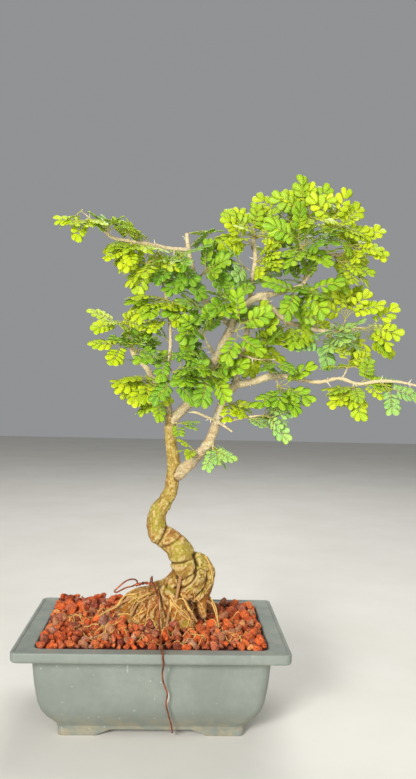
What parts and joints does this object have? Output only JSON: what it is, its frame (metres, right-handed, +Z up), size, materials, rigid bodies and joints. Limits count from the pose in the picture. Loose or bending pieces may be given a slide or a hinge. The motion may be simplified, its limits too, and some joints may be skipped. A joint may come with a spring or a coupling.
{
  "type": "texas ebony bonsai",
  "caption": "Texas ebony bonsai with a curved trunk, exposed roots and feathery compound leaves in a shallow rectangular training pot filled with red lava gravel.",
  "frame": {"origin": "on the table under the middle of the whole object's box", "axes": "+Z up, front towards -Y, +X to the right along the pot's length, towards the long low branch"},
  "size_m": [0.414, 0.1926, 0.5547],
  "materials": {
    "pot_plastic": "dusty matt grey-green moulded plastic",
    "screen_plastic": "matt black moulded mesh",
    "lava_stone": "rough porous red lava grains",
    "bark": "rough tan bark, ochre at the roots and paler on the branches",
    "wire_copper": "tarnished copper wire",
    "leaf_lime": "satin young leaf",
    "leaf_green": "satin mature leaf",
    "leaf_pale": "satin blue-green leaf"
  },
  "bodies": {
    "root": {"pot": "pot_plastic", "drainage_screen_left": "screen_plastic", "drainage_screen_right": "screen_plastic", "lava_gravel": "lava_stone", "trunk_and_branches": "bark", "tie_wire": "wire_copper", "leafy_spray_01": "leaf_lime", "leafy_spray_02": "leaf_green", "leafy_spray_03": "leaf_lime", "leafy_spray_04": "leaf_lime", "leafy_spray_05": "leaf_lime", "leafy_spray_06": "leaf_green", "leafy_spray_07": "leaf_lime", "leafy_spray_08": "leaf_green", "leafy_spray_09": "leaf_lime", "leafy_spray_10": "leaf_lime", "leafy_spray_11": "leaf_lime", "leafy_spray_12": "leaf_green", "leafy_spray_13": "leaf_lime", "leafy_spray_14": "leaf_lime", "leafy_spray_15": "leaf_green", "leafy_spray_16": "leaf_green", "leafy_spray_17": "leaf_green", "leafy_spray_18": "leaf_green", "leafy_spray_19": "leaf_lime", "leafy_spray_20": "leaf_pale", "leafy_spray_21": "leaf_lime", "leafy_spray_22": "leaf_pale", "leafy_spray_23": "leaf_green", "leafy_spray_24": "leaf_green", "leafy_spray_25": "leaf_green", "leafy_spray_26": "leaf_green", "leafy_spray_27": "leaf_green", "leafy_spray_28": "leaf_green", "leafy_spray_29": "leaf_green", "leafy_spray_30": "leaf_lime", "leafy_spray_31": "leaf_green", "leafy_spray_32": "leaf_pale", "leafy_spray_33": "leaf_lime", "leafy_spray_34": "leaf_lime", "leafy_spray_35": "leaf_lime", "leafy_spray_36": "leaf_lime", "leafy_spray_37": "leaf_lime", "leafy_spray_38": "leaf_lime", "leafy_spray_39": "leaf_green", "leafy_spray_40": "leaf_lime", "leafy_spray_41": "leaf_lime", "leafy_spray_42": "leaf_lime", "leafy_spray_43": "leaf_lime", "leafy_spray_44": "leaf_lime", "leafy_spray_45": "leaf_green", "leafy_spray_46": "leaf_lime", "leafy_spray_47": "leaf_pale", "leafy_spray_48": "leaf_lime", "leafy_spray_49": "leaf_lime", "leafy_spray_50": "leaf_green", "leafy_spray_51": "leaf_lime", "leafy_spray_52": "leaf_lime", "leafy_spray_53": "leaf_pale", "leafy_spray_54": "leaf_lime"}
  },
  "joints": []
}
